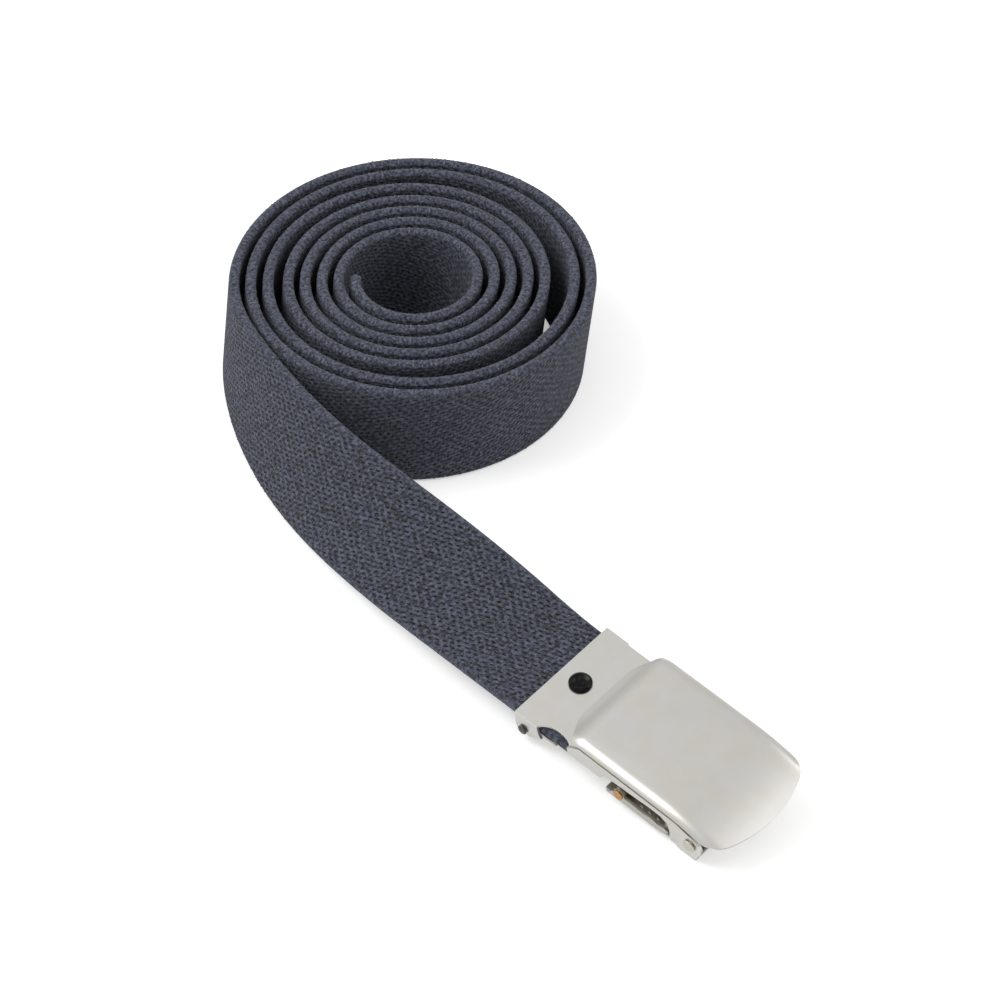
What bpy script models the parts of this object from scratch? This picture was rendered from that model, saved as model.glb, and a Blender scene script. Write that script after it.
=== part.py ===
"""A gait belt rolled up on its edge: one long webbing strap and a flip-top cam buckle, one object per piece.

Units are metres and +Z is up. The buckle is drawn in its own frame, X from its tail to its nose, Y across and
Z up from the bottom of its tail flanges, and is then tipped nose down onto the table where the strap ends.
"""

import math

import bmesh
import bpy
from mathutils import Matrix, Vector

# strap
WEB_WIDTH = 0.032
WEB_THICKNESS = 0.003
WEB_EDGE = 0.0007
COIL_TURNS = 7.0
COIL_INNER_RADIUS = 0.0154
COIL_PITCH = 0.0046
COIL_START_ANGLE = math.radians(223.5)
COIL_STEPS_PER_TURN = 40
LOOSE_TURN = 4.85
LOOSE_TURN_SPAN = 0.55
LOOSE_TURN_GROWTH = 0.0022
LOOSE_TURN_SHIFT = 0.0012
COIL_LEAN = 0.10
COIL_LEAN_ANGLE = math.radians(43.5)
FREE_LENGTH = 0.1644
FREE_TURN_LENGTH = 0.0896
FREE_RISE_START = 0.30
FREE_STEPS = 48
TWIST_EASE = 0.12
WEB_IN_BUCKLE = 0.019
TAIL_STEPS = 6

# buckle sheet metal
SHEET = 0.0008
GAP = 0.0003
BUCKLE_PITCH = math.radians(4.0)
BUCKLE_ROLL = math.radians(8.0)
FRAME_OUTER_WIDTH = WEB_WIDTH + 2.0 * (SHEET + GAP)
PLATE_LENGTH = 0.029
WEB_MID_Z = 0.0044
PLATE_BOTTOM = WEB_MID_Z + WEB_THICKNESS / 2.0 + GAP
PLATE_TOP = PLATE_BOTTOM + SHEET
FLANGE_LENGTH = 0.0075
FLANGE_CORNER = 0.0014
FLANGE_FLAT_END = 0.0048
NOTCH_X = 0.0127
NOTCH_RADIUS = 0.0052
NOTCH_DEPTH = 0.0024
EAR_START = NOTCH_X + NOTCH_RADIUS
EAR_TOP = 0.0116
EAR_NOSE_RADIUS = 0.0036
EAR_TOP_SETBACK = 0.0050
EAR_TAIL_SLOPE = 0.0040
EAR_TAIL_DROP = 0.0030
WINDOW_START = 0.0290
WINDOW_END = 0.0523
WINDOW_TOP = 0.0098
WINDOW_RISE = 0.0060
WINDOW_SAG = 0.0008
WINDOW_CORNER = 0.0030
WINDOW_FOOT_Z = 0.0034
NOSE_FLOOR_Z = 0.0016
FOOT_X = 0.0580
FOOT_Z = 0.0015
FOOT_HEEL = 0.0022
FOOT_TOE = 0.0028

# cover and its cam
HINGE_X = 0.0590
HINGE_Z = 0.0068
HINGE_PIN_RADIUS = 0.0012
RUNNING_FIT = 0.00006
COVER_LENGTH_FROM = 0.0153
COVER_LENGTH_TO = 0.0705
COVER_WIDTH = FRAME_OUTER_WIDTH + 0.0004
COVER_TOP = 0.0141
COVER_SHOULDER = 0.0225
COVER_LIP_DROP = 0.0030
COVER_DROOP_START = 0.0500
COVER_DROOP = 0.0042
COVER_RIM_WIDTH = 0.0024
COVER_RIM_DROP = 0.0012
COVER_LIP_SETBACK = 0.0036
COVER_LIP_HALF_WIDTH = 0.0085
COVER_NOSE_SETBACK = 0.0042
COVER_NOSE_CORNER = 0.0040
CAM_BARREL_RADIUS = 0.0032
CAM_WIDTH = 0.0290
CAM_SLOT_WIDTH = 0.0150
CAM_NECK_LEFT = 0.0045
CAM_NECK_RIGHT = 0.0010
CAM_LOBE_LENGTH = 0.0066
CAM_LOBE_DROP = 0.0028
CAM_TOOTH = 0.0007
CAM_BLOCK_EXTRA = 0.0003

# toothed back plate and its roller
BACK_START = 0.0305
BACK_BOTTOM = 0.0023
BACK_LUG_HEIGHT = 0.0024
BACK_LUG_BUMP = 0.0006
BACK_LUG_SLOPE = 0.0030
BACK_BOSS_RADIUS = 0.0017
TOOTH_HEIGHT = 0.0007
TOOTH_SPACING = 0.0027
TOOTH_COUNT = 4
ROLLER_X = 0.0355
ROLLER_Z = 0.0054
ROLLER_RADIUS = 0.0016
ROLLER_PIN_RADIUS = 0.0008

# tail clamp and rivets
CLAMP_PIN_X = 0.0026
CLAMP_PIN_Z = 0.0014
CLAMP_PIN_RADIUS = 0.0007
CLAMP_BARREL_RADIUS = 0.0012
CLAMP_REACH = 0.0122
BELT_RIVET_X = 0.0066
BELT_RIVET_RADIUS = 0.0016
BELT_RIVET_HEAD_RADIUS = 0.0031
BELT_RIVET_HEAD_HEIGHT = 0.0008
BURR_RADIUS = 0.0027
BURR_THICKNESS = 0.0005
SPRING_RIVET_X = 0.0250
SPRING_RIVET_RADIUS = 0.0010
SPRING_RIVET_HEAD_RADIUS = 0.0019
SPRING_RIVET_HEAD_HEIGHT = 0.0005
LEAF_START = 0.0222
LEAF_FLAT_END = 0.0282
LEAF_THICKNESS = 0.0004
LEAF_WIDTH = 0.0100
LEAF_TIP_ANGLE = math.radians(135.0)
PIN_HEAD_HEIGHT = 0.0005
PIN_HEAD_EXTRA = 0.0007
PIN_STEPS = 32
CUTTER_EXTRA = 0.002

SIDES = (-1.0, 1.0)


def clear_scene():
    for obj in list(bpy.data.objects):
        bpy.data.objects.remove(obj, do_unlink=True)


def new_collection(name):
    collection = bpy.data.collections.new(name)
    bpy.context.scene.collection.children.link(collection)
    return collection


def material(name, color, roughness, metallic):
    mat = bpy.data.materials.new(name)
    mat.use_nodes = True
    shader = mat.node_tree.nodes["Principled BSDF"]
    shader.inputs["Base Color"].default_value = (*color, 1.0)
    shader.inputs["Roughness"].default_value = roughness
    shader.inputs["Metallic"].default_value = metallic
    return mat


def add_object(name, mesh, collection, parent, mat=None):
    obj = bpy.data.objects.new(name, mesh)
    collection.objects.link(obj)
    obj.parent = parent
    if mat:
        mesh.materials.append(mat)
    return obj


def add_empty(name, collection, parent=None):
    empty = bpy.data.objects.new(name, None)
    collection.objects.link(empty)
    empty.parent = parent
    return empty


def boolean(target, other, operation):
    modifier = target.modifiers.new(operation.lower(), "BOOLEAN")
    modifier.operation = operation
    modifier.solver = "EXACT"
    modifier.object = other


def helper_object(name, mesh, parent):
    """A body that only cuts or joins others, kept out of the object's own collection."""
    obj = add_object(name, mesh, CUTTERS, parent)
    obj.hide_render = True
    obj.display_type = "WIRE"
    return obj


def outline_mesh(name, points, thickness):
    """A closed flat outline in X and Y, thickened evenly to both sides of its plane."""
    curve = bpy.data.curves.new(name, "CURVE")
    curve.dimensions = "2D"
    curve.fill_mode = "BOTH"
    curve.extrude = thickness / 2.0
    spline = curve.splines.new("POLY")
    spline.points.add(len(points) - 1)
    for point, (x, y) in zip(spline.points, points):
        point.co = (x, y, 0.0, 1.0)
    spline.use_cyclic_u = True
    source = bpy.data.objects.new(name + "_outline", curve)
    bpy.context.scene.collection.objects.link(source)
    bpy.context.view_layer.update()
    evaluated = source.evaluated_get(bpy.context.evaluated_depsgraph_get())
    mesh = bpy.data.meshes.new_from_object(evaluated)
    bpy.data.objects.remove(source, do_unlink=True)
    bm = bmesh_from(mesh)
    bmesh.ops.remove_doubles(bm, verts=bm.verts, dist=1e-6)
    bmesh.ops.recalc_face_normals(bm, faces=bm.faces)
    bm.to_mesh(mesh)
    bm.free()
    return mesh


def bmesh_from(mesh):
    bm = bmesh.new()
    bm.from_mesh(mesh)
    return bm


def level_plate(name, points, bottom, top):
    """An outline in X and Y that fills the height from bottom to top."""
    mesh = outline_mesh(name, points, top - bottom)
    mesh.transform(Matrix.Translation((0.0, 0.0, (bottom + top) / 2.0)))
    return mesh


def upright_plate(name, points, y_from, y_to):
    """An outline in X and Z that fills the width from y_from to y_to."""
    mesh = outline_mesh(name, points, abs(y_to - y_from))
    stand_up = Matrix.Rotation(math.radians(90.0), 4, "X")
    mesh.transform(Matrix.Translation((0.0, (y_from + y_to) / 2.0, 0.0)) @ stand_up)
    return mesh


def rectangle(x_from, x_to, y_from, y_to):
    return [(x_from, y_from), (x_to, y_from), (x_to, y_to), (x_from, y_to)]


def arc(center_x, center_y, radius, degrees_from, degrees_to, steps):
    points = []
    for i in range(steps + 1):
        angle = math.radians(degrees_from + (degrees_to - degrees_from) * i / steps)
        points.append((center_x + radius * math.cos(angle), center_y + radius * math.sin(angle)))
    return points


def turned(name, profile, collection, parent, closed=False, mat=None):
    """A profile of (radius, height) pairs, top to bottom, turned about Z."""
    mesh = bpy.data.meshes.new(name)
    verts = [(radius, 0.0, height) for radius, height in profile]
    edges = [(i, i + 1) for i in range(len(verts) - 1)]
    if closed:
        edges.append((len(verts) - 1, 0))
    mesh.from_pydata(verts, edges, [])
    obj = add_object(name, mesh, collection, parent, mat)
    screw = obj.modifiers.new("turn", "SCREW")
    screw.axis = "Z"
    screw.angle = math.tau
    screw.steps = PIN_STEPS
    screw.render_steps = PIN_STEPS
    screw.use_merge_vertices = True
    screw.merge_threshold = 1e-6
    screw.use_smooth_shade = True
    return obj


def cross_pin(name, radius, reach, head_radius, x, z, parent, mat):
    """A pin across the buckle whose ends are riveted over outside the walls."""
    profile = [
        (0.0, reach + PIN_HEAD_HEIGHT),
        (head_radius * 0.7, reach + PIN_HEAD_HEIGHT),
        (head_radius, reach + PIN_HEAD_HEIGHT * 0.5),
        (head_radius, reach),
        (radius, reach),
    ]
    mirrored = [(r, -h) for r, h in reversed(profile)]
    pin = turned(name, profile + mirrored, OBJECT, parent, mat=mat)
    pin.rotation_euler = (math.radians(90.0), 0.0, 0.0)
    pin.location = (x, 0.0, z)
    return pin


def bore_cutter(name, radius, length, location, parent, along_y=True):
    half = length / 2.0
    cutter = turned(name, [(0.0, half), (radius, half), (radius, -half), (0.0, -half)], CUTTERS, parent)
    cutter.hide_render = True
    cutter.display_type = "WIRE"
    cutter.location = location
    if along_y:
        cutter.rotation_euler = (math.radians(90.0), 0.0, 0.0)
    return cutter


def smooth(value):
    value = min(max(value, 0.0), 1.0)
    return value * value * (3.0 - 2.0 * value)


# ---- the strap's path ----


def coil_point(turns):
    """The middle of the strap's thickness after so many turns from the inner end."""
    angle = COIL_START_ANGLE + math.tau * turns
    loose = smooth((turns - LOOSE_TURN) / LOOSE_TURN_SPAN + 0.5)
    radius = COIL_INNER_RADIUS + COIL_PITCH * turns + LOOSE_TURN_GROWTH * loose
    shift = Vector((math.cos(COIL_LEAN_ANGLE), math.sin(COIL_LEAN_ANGLE), 0.0)) * LOOSE_TURN_SHIFT * loose
    return Vector((radius * math.cos(angle), radius * math.sin(angle), 0.0)) + shift


def coil_stations():
    """Lower edge, width direction and thickness direction at each step of the coil."""
    lean = Vector((math.cos(COIL_LEAN_ANGLE), math.sin(COIL_LEAN_ANGLE), 0.0)) * COIL_LEAN
    count = int(COIL_STEPS_PER_TURN * COIL_TURNS)
    step = COIL_TURNS / count
    stations = []
    for i in range(count):
        turns = i * step
        ahead = coil_point(turns + 0.01) - coil_point(turns - 0.01)
        outward = ahead.normalized().cross(Vector((0.0, 0.0, 1.0)))
        stations.append((coil_point(turns), Vector((0.0, 0.0, 1.0)) + lean, outward))
    return stations


def free_heading(travel):
    """The strap's heading on the table: it leaves the coil and swings round to the buckle's own heading."""
    start = COIL_START_ANGLE + math.radians(90.0) - math.radians(360.0)
    end_share = math.exp(-FREE_LENGTH / FREE_TURN_LENGTH)
    share = (math.exp(-travel / FREE_TURN_LENGTH) - end_share) / (1.0 - end_share)
    return start * max(share, 0.0)


def buckle_turn():
    """The buckle lies nose down with its far side propped up by the strap."""
    return Matrix.Rotation(BUCKLE_PITCH, 3, "Y") @ Matrix.Rotation(BUCKLE_ROLL, 3, "X")


def buckle_height():
    """Height of the buckle's own origin with the near corner of its foot on the table."""
    foot = buckle_turn() @ Vector((FOOT_X + FOOT_TOE, -FRAME_OUTER_WIDTH / 2.0, FOOT_Z))
    return -foot.z


def tail_entry():
    """The strap's near edge where it passes into the buckle's tail, from the buckle's origin."""
    return buckle_turn() @ Vector((0.0, -WEB_WIDTH / 2.0, WEB_MID_Z))


def free_rise(travel):
    """How far the strap's near edge has risen off the table on its way to the buckle."""
    begin = FREE_RISE_START * FREE_LENGTH
    span = FREE_LENGTH - begin
    u = min(max((travel - begin) / span, 0.0), 1.0)
    height = buckle_height() + tail_entry().z - WEB_THICKNESS / 2.0
    end_slope = -math.tan(BUCKLE_PITCH) * span
    return height * (3.0 * u * u - 2.0 * u**3) + end_slope * (u**3 - u * u)


def twist_share(way):
    """Share of the quarter turn made after this share of the way, eased over a short stretch at each end."""
    if way < TWIST_EASE:
        return way * way / (2.0 * TWIST_EASE * (1.0 - TWIST_EASE))
    if way > 1.0 - TWIST_EASE:
        return 1.0 - twist_share(max(1.0 - way, 0.0))
    return (way - TWIST_EASE / 2.0) / (1.0 - TWIST_EASE)


def free_stations():
    """The strap on its way from standing on edge at the coil to lying flat at the buckle."""
    lean = Vector((math.cos(COIL_LEAN_ANGLE), math.sin(COIL_LEAN_ANGLE), 0.0)) * COIL_LEAN
    spot = coil_point(COIL_TURNS)
    step = FREE_LENGTH / FREE_STEPS
    spots = []
    for i in range(FREE_STEPS + 1):
        travel = i * step
        twist = (math.radians(90.0) - BUCKLE_ROLL) * twist_share(travel / FREE_LENGTH)
        height = WEB_THICKNESS / 2.0 * math.sin(twist) + free_rise(travel)
        heading = free_heading(travel)
        left = Vector((-math.sin(heading), math.cos(heading), 0.0))
        width = Vector((0.0, 0.0, math.cos(twist))) + left * math.sin(twist)
        width += lean * (1.0 - smooth(travel / FREE_LENGTH * 2.0))
        spots.append((Vector((spot.x, spot.y, height)), width))
        middle = free_heading(travel + step / 2.0)
        spot = spot + Vector((math.cos(middle), math.sin(middle), 0.0)) * step
    stations = []
    for i, (place, width) in enumerate(spots):
        ahead = spots[min(i + 1, FREE_STEPS)][0] - spots[max(i - 1, 0)][0]
        face = ahead.cross(width).normalized()
        stations.append((place, width, face))
    return stations


def buckle_place():
    """Where the buckle's own origin sits, so that the strap's end runs straight into its tail."""
    near_edge = free_stations()[-1][0]
    entry = tail_entry()
    return Vector((near_edge.x - entry.x, near_edge.y - entry.y, buckle_height()))


def tail_stations():
    """The last stretch of strap, flat inside the buckle's tail."""
    turn = buckle_turn()
    start = buckle_place() + tail_entry()
    stations = []
    for i in range(TAIL_STEPS + 1):
        place = start + turn.col[0] * (WEB_IN_BUCKLE * i / TAIL_STEPS)
        stations.append((place, turn.col[1], turn.col[2]))
    return stations


def belt_webbing(root, mat):
    stations = coil_stations() + free_stations()[:-1] + tail_stations()
    half = WEB_THICKNESS / 2.0
    section = [
        (0.0, -half + WEB_EDGE),
        (0.0, half - WEB_EDGE),
        (WEB_EDGE, half),
        (WEB_WIDTH - WEB_EDGE, half),
        (WEB_WIDTH, half - WEB_EDGE),
        (WEB_WIDTH, -half + WEB_EDGE),
        (WEB_WIDTH - WEB_EDGE, -half),
        (WEB_EDGE, -half),
    ]
    corners = len(section)
    verts = []
    for place, width, face in stations:
        verts += [place + width * u + face * v for u, v in section]
    faces = []
    for i in range(len(stations) - 1):
        for j in range(corners):
            k = (j + 1) % corners
            a, b = i * corners, (i + 1) * corners
            faces.append((a + j, a + k, b + k, b + j))
    faces.append(tuple(reversed(range(corners))))
    last = (len(stations) - 1) * corners
    faces.append(tuple(last + j for j in range(corners)))
    mesh = bpy.data.meshes.new("belt_webbing")
    mesh.from_pydata(verts, [], faces)
    bm = bmesh_from(mesh)
    bmesh.ops.recalc_face_normals(bm, faces=bm.faces)
    bm.to_mesh(mesh)
    bm.free()
    web = add_object("belt_webbing", mesh, OBJECT, root, mat)
    hole = bore_cutter(
        "web_rivet_hole",
        BELT_RIVET_RADIUS + GAP,
        2.0 * WEB_THICKNESS,
        (BELT_RIVET_X, 0.0, WEB_MID_Z),
        BUCKLE,
        along_y=False,
    )
    boolean(web, hole, "DIFFERENCE")


# ---- the buckle ----


def flange_outline():
    """The tail's side flange, cut back by the half-round relief behind it."""
    low = FLANGE_CORNER
    back = arc(NOTCH_X, PLATE_BOTTOM, NOTCH_RADIUS, 222.0, 180.0, 5)
    bottom = [(0.0, low), (low * 0.3, low * 0.3), (low, 0.0), (FLANGE_FLAT_END, 0.0)]
    return bottom + back + [(FLANGE_LENGTH, PLATE_TOP), (0.0, PLATE_TOP)]


def ear_outline():
    """The wall beside the cover: it stands on the plate, arches over the web window and ends in the foot."""
    arch = WINDOW_TOP
    window = [
        (WINDOW_START, PLATE_BOTTOM),
        (WINDOW_START + 0.25 * WINDOW_RISE, PLATE_BOTTOM + 0.6 * (arch - PLATE_BOTTOM)),
        (WINDOW_START + WINDOW_RISE, arch - WINDOW_SAG),
        (WINDOW_START + 2.0 * WINDOW_RISE, arch - 0.5 * WINDOW_SAG),
        (WINDOW_START + 2.7 * WINDOW_RISE, arch),
        (WINDOW_END - WINDOW_CORNER, arch),
        (WINDOW_END - 0.3 * WINDOW_CORNER, arch - 0.4 * WINDOW_CORNER),
        (WINDOW_END, arch - 1.2 * WINDOW_CORNER),
        (WINDOW_END, WINDOW_FOOT_Z),
    ]
    foot = [(FOOT_X - FOOT_HEEL, FOOT_Z), (FOOT_X + FOOT_TOE, FOOT_Z)]
    nose = arc(HINGE_X, HINGE_Z, EAR_NOSE_RADIUS, -42.0, 62.0, 8)
    top = [(HINGE_X - EAR_TOP_SETBACK, EAR_TOP), (EAR_START + EAR_TAIL_SLOPE, EAR_TOP)]
    top.append((EAR_START, EAR_TOP - EAR_TAIL_DROP))
    return [(EAR_START, PLATE_BOTTOM)] + window + foot + nose + top


def plate_outline(half_width):
    """The tail plate: a shallow round relief in its near edge, straight along the far one."""
    round_bite = arc(NOTCH_X, 0.0, NOTCH_RADIUS, 180.0, 0.0, 12)
    bite = [(x, y * NOTCH_DEPTH / NOTCH_RADIUS - half_width) for x, y in round_bite]
    far = [(PLATE_LENGTH, half_width), (0.0, half_width)]
    return [(0.0, -half_width)] + bite + [(PLATE_LENGTH, -half_width)] + far


def buckle_frame(mat):
    half = FRAME_OUTER_WIDTH / 2.0
    joined = half - SHEET / 2.0
    plate = level_plate("buckle_frame", plate_outline(joined), PLATE_BOTTOM, PLATE_TOP)
    frame = add_object("buckle_frame", plate, OBJECT, BUCKLE, mat)
    for side, label in zip(SIDES, ("near", "far")):
        walls = (("flange", flange_outline()), ("ear", ear_outline()))
        for part, outline in walls:
            name = f"{label}_{part}"
            mesh = upright_plate(name, outline, side * (half - SHEET), side * half)
            boolean(frame, helper_object(name, mesh, BUCKLE), "UNION")
    floor_outline = rectangle(WINDOW_END, FOOT_X + FOOT_TOE, -joined, joined)
    floor = level_plate("nose_floor", floor_outline, NOSE_FLOOR_Z, NOSE_FLOOR_Z + SHEET)
    boolean(frame, helper_object("nose_floor", floor, BUCKLE), "UNION")
    across = FRAME_OUTER_WIDTH + 2.0 * CUTTER_EXTRA
    hinge_bore = HINGE_PIN_RADIUS + RUNNING_FIT
    clamp_bore = CLAMP_PIN_RADIUS + RUNNING_FIT
    bores = (
        ("hinge_bore", hinge_bore, (HINGE_X, 0.0, HINGE_Z)),
        ("clamp_bore", clamp_bore, (CLAMP_PIN_X, 0.0, CLAMP_PIN_Z)),
    )
    for name, radius, place in bores:
        boolean(frame, bore_cutter(name, radius, across, place, BUCKLE), "DIFFERENCE")
    holes = (
        ("belt_rivet_hole", BELT_RIVET_RADIUS + GAP, BELT_RIVET_X),
        ("spring_rivet_hole", SPRING_RIVET_RADIUS + RUNNING_FIT, SPRING_RIVET_X),
    )
    for name, radius, x in holes:
        place = (x, 0.0, PLATE_TOP)
        boolean(frame, bore_cutter(name, radius, 4.0 * SHEET, place, BUCKLE, along_y=False), "DIFFERENCE")


def back_plate(mat):
    """The lower grip: a flat plate with side lugs that carry the roller and a row of teeth under the cam."""
    half = FRAME_OUTER_WIDTH / 2.0
    joined = half - SHEET / 2.0
    end = WINDOW_END - GAP
    top = BACK_BOTTOM + SHEET
    body = level_plate("back_plate", rectangle(BACK_START, end, -joined, joined), BACK_BOTTOM, top)
    plate = add_object("back_plate", body, OBJECT, BUCKLE, mat)
    lug_top = BACK_BOTTOM + BACK_LUG_HEIGHT
    lug = [(BACK_START + 0.0004, BACK_BOTTOM), (end - BACK_LUG_SLOPE, BACK_BOTTOM), (end, lug_top)]
    for i in range(2):
        back = end - i * 1.5 * BACK_LUG_SLOPE
        lug.append((back - 0.5 * BACK_LUG_SLOPE, lug_top + BACK_LUG_BUMP))
        lug.append((back - 1.3 * BACK_LUG_SLOPE, lug_top))
    lug += arc(ROLLER_X, ROLLER_Z, BACK_BOSS_RADIUS, -10.0, 190.0, 8)
    for side, label in zip(SIDES, ("near", "far")):
        name = f"{label}_lug"
        mesh = upright_plate(name, lug, side * (half - SHEET), side * half)
        boolean(plate, helper_object(name, mesh, BUCKLE), "UNION")
    for i in range(TOOTH_COUNT):
        x = end - 0.0028 - i * TOOTH_SPACING
        ridge = [(x - TOOTH_HEIGHT, top - 0.0002), (x + TOOTH_HEIGHT, top - 0.0002), (x, top + TOOTH_HEIGHT)]
        name = f"grip_tooth_{i + 1}"
        mesh = upright_plate(name, ridge, -WEB_WIDTH / 2.0 + 0.001, WEB_WIDTH / 2.0 - 0.001)
        boolean(plate, helper_object(name, mesh, BUCKLE), "UNION")
    across = FRAME_OUTER_WIDTH + 2.0 * CUTTER_EXTRA
    bore_radius = ROLLER_PIN_RADIUS + RUNNING_FIT
    bore = bore_cutter("roller_pin_bore", bore_radius, across, (ROLLER_X, 0.0, ROLLER_Z), BUCKLE)
    boolean(plate, bore, "DIFFERENCE")


def guide_roller(mat):
    half = FRAME_OUTER_WIDTH / 2.0 - SHEET - GAP
    inner = ROLLER_PIN_RADIUS + RUNNING_FIT
    profile = [(ROLLER_RADIUS, half), (ROLLER_RADIUS, -half), (inner, -half), (inner, half)]
    roller = turned("guide_roller", profile, OBJECT, BUCKLE, closed=True, mat=mat)
    roller.rotation_euler = (math.radians(90.0), 0.0, 0.0)
    roller.location = (ROLLER_X, 0.0, ROLLER_Z)


def cover_height(x):
    """Outside height of the cover along its middle: lip, flat top, drooping nose."""
    climb = smooth((x - COVER_LENGTH_FROM + 0.001) / (COVER_SHOULDER - COVER_LENGTH_FROM + 0.001))
    run = max(x - COVER_DROOP_START, 0.0) / (COVER_LENGTH_TO - COVER_DROOP_START)
    return COVER_TOP - COVER_LIP_DROP * (1.0 - climb) - COVER_DROOP * run * run


def cover_span(y):
    """Where the cover starts and ends at this distance from its middle line."""
    half = COVER_WIDTH / 2.0
    side = (abs(y) - COVER_LIP_HALF_WIDTH) / (half - COVER_LIP_HALF_WIDTH)
    start = COVER_LENGTH_FROM + COVER_LIP_SETBACK * smooth(side)
    end = COVER_LENGTH_TO - COVER_NOSE_SETBACK * (y / half) ** 2
    into_corner = max(abs(y) - (half - COVER_NOSE_CORNER), 0.0)
    end -= COVER_NOSE_CORNER - math.sqrt(max(COVER_NOSE_CORNER**2 - into_corner**2, 0.0))
    return start, end


def cover_shell(pivot, mat):
    """A shallow pressed lid: an open sheet thickened downwards."""
    half = COVER_WIDTH / 2.0
    across = [half * math.sin(math.radians(90.0) * i / 14.0) for i in range(-14, 15)]
    along = 40
    verts = []
    for y in across:
        start, end = cover_span(y)
        into_rim = max(abs(y) - (half - COVER_RIM_WIDTH), 0.0) / COVER_RIM_WIDTH
        for i in range(along + 1):
            x = start + (end - start) * i / along
            z = cover_height(x) - COVER_RIM_DROP * into_rim * into_rim
            verts.append((x - HINGE_X, y, z - HINGE_Z))
    row = along + 1
    faces = []
    for j in range(len(across) - 1):
        for i in range(along):
            a = j * row + i
            faces.append((a, a + 1, a + row + 1, a + row))
    mesh = bpy.data.meshes.new("cover_shell")
    mesh.from_pydata(verts, [], faces)
    mesh.shade_smooth()
    cover = add_object("cover_shell", mesh, OBJECT, pivot, mat)
    solidify = cover.modifiers.new("sheet", "SOLIDIFY")
    solidify.thickness = SHEET
    solidify.offset = -1.0


def cam_side_outline():
    """One side block of the cam, drawn about the hinge pin: barrel, toothed lobe and neck up to the cover."""
    r = CAM_BARREL_RADIUS + CAM_BLOCK_EXTRA
    under = arc(0.0, 0.0, r, 0.0, -110.0, 8)
    tip_x, tip_z = -CAM_LOBE_LENGTH, -CAM_LOBE_DROP
    teeth = []
    for i in range(3):
        teeth.append((tip_x + 1.3 * CAM_TOOTH * (2 - i), tip_z - CAM_TOOTH * 0.2))
        teeth.append((tip_x + 1.3 * CAM_TOOTH * (1.6 - i), tip_z + CAM_TOOTH * 0.6))
    back = [(tip_x - 0.0003, tip_z + 0.0012), (-CAM_NECK_LEFT, 0.0018)]
    neck = []
    for x in (-CAM_NECK_LEFT, (CAM_NECK_RIGHT - CAM_NECK_LEFT) / 2.0, CAM_NECK_RIGHT):
        neck.append((x, cover_height(HINGE_X + x) - HINGE_Z - SHEET - GAP))
    return under + teeth + back + neck + [(CAM_NECK_RIGHT + 0.001, r)]


def cam_lever(pivot, mat):
    """The gripping cam under the cover, turned about the hinge pin, with a slot for the leaf spring."""
    barrel_profile = [(0.0, CAM_WIDTH / 2.0), (CAM_BARREL_RADIUS, CAM_WIDTH / 2.0)]
    barrel_profile += [(r, -h) for r, h in reversed(barrel_profile)]
    cam = turned("cam_lever", barrel_profile, OBJECT, pivot, mat=mat)
    cam.rotation_euler = (math.radians(90.0), 0.0, 0.0)
    for side, label in zip(SIDES, ("near", "far")):
        name = f"{label}_cam_block"
        inner, outer = side * CAM_SLOT_WIDTH / 2.0, side * (CAM_WIDTH / 2.0 - 0.0004)
        block = helper_object(name, upright_plate(name, cam_side_outline(), inner, outer), pivot)
        boolean(cam, block, "UNION")
    across = CAM_WIDTH + 2.0 * CUTTER_EXTRA
    bore = bore_cutter("cam_bore", HINGE_PIN_RADIUS + RUNNING_FIT, across, (0.0, 0.0, 0.0), pivot)
    boolean(cam, bore, "DIFFERENCE")


def cover_spring(mat):
    """A flat leaf riveted to the plate; its tip bears on the cam's barrel."""
    bottom = PLATE_TOP + GAP
    reach = CAM_BARREL_RADIUS + GAP + LEAF_THICKNESS
    tip = (HINGE_X + reach * math.cos(LEAF_TIP_ANGLE), HINGE_Z + reach * math.sin(LEAF_TIP_ANGLE))
    line = [(LEAF_START, bottom), (LEAF_FLAT_END, bottom)]
    steps = 10
    for i in range(1, steps + 1):
        u = i / steps
        rise = (tip[1] - bottom) * u * (0.35 + 0.65 * u)
        line.append((LEAF_FLAT_END + (tip[0] - LEAF_FLAT_END) * u, bottom + rise))
    upper = [(x, z + LEAF_THICKNESS) for x, z in reversed(line)]
    mesh = upright_plate("cover_spring", line + upper, -LEAF_WIDTH / 2.0, LEAF_WIDTH / 2.0)
    leaf = add_object("cover_spring", mesh, OBJECT, BUCKLE, mat)
    place = (SPRING_RIVET_X, 0.0, bottom)
    hole = bore_cutter("leaf_hole", SPRING_RIVET_RADIUS + RUNNING_FIT, 0.004, place, BUCKLE, along_y=False)
    boolean(leaf, hole, "DIFFERENCE")


def spring_rivet(mat):
    r, head = SPRING_RIVET_RADIUS, SPRING_RIVET_HEAD_RADIUS
    seat = PLATE_TOP + 2.0 * GAP + LEAF_THICKNESS
    foot = PLATE_BOTTOM - GAP
    high, low = seat + SPRING_RIVET_HEAD_HEIGHT, foot - SPRING_RIVET_HEAD_HEIGHT
    profile = [(0.0, high), (head * 0.7, high), (head, seat), (r, seat), (r, foot), (head, foot)]
    profile += [(head * 0.8, low), (0.0, low)]
    rivet = turned("spring_rivet", profile, OBJECT, BUCKLE, mat=mat)
    rivet.location = (SPRING_RIVET_X, 0.0, 0.0)


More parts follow.
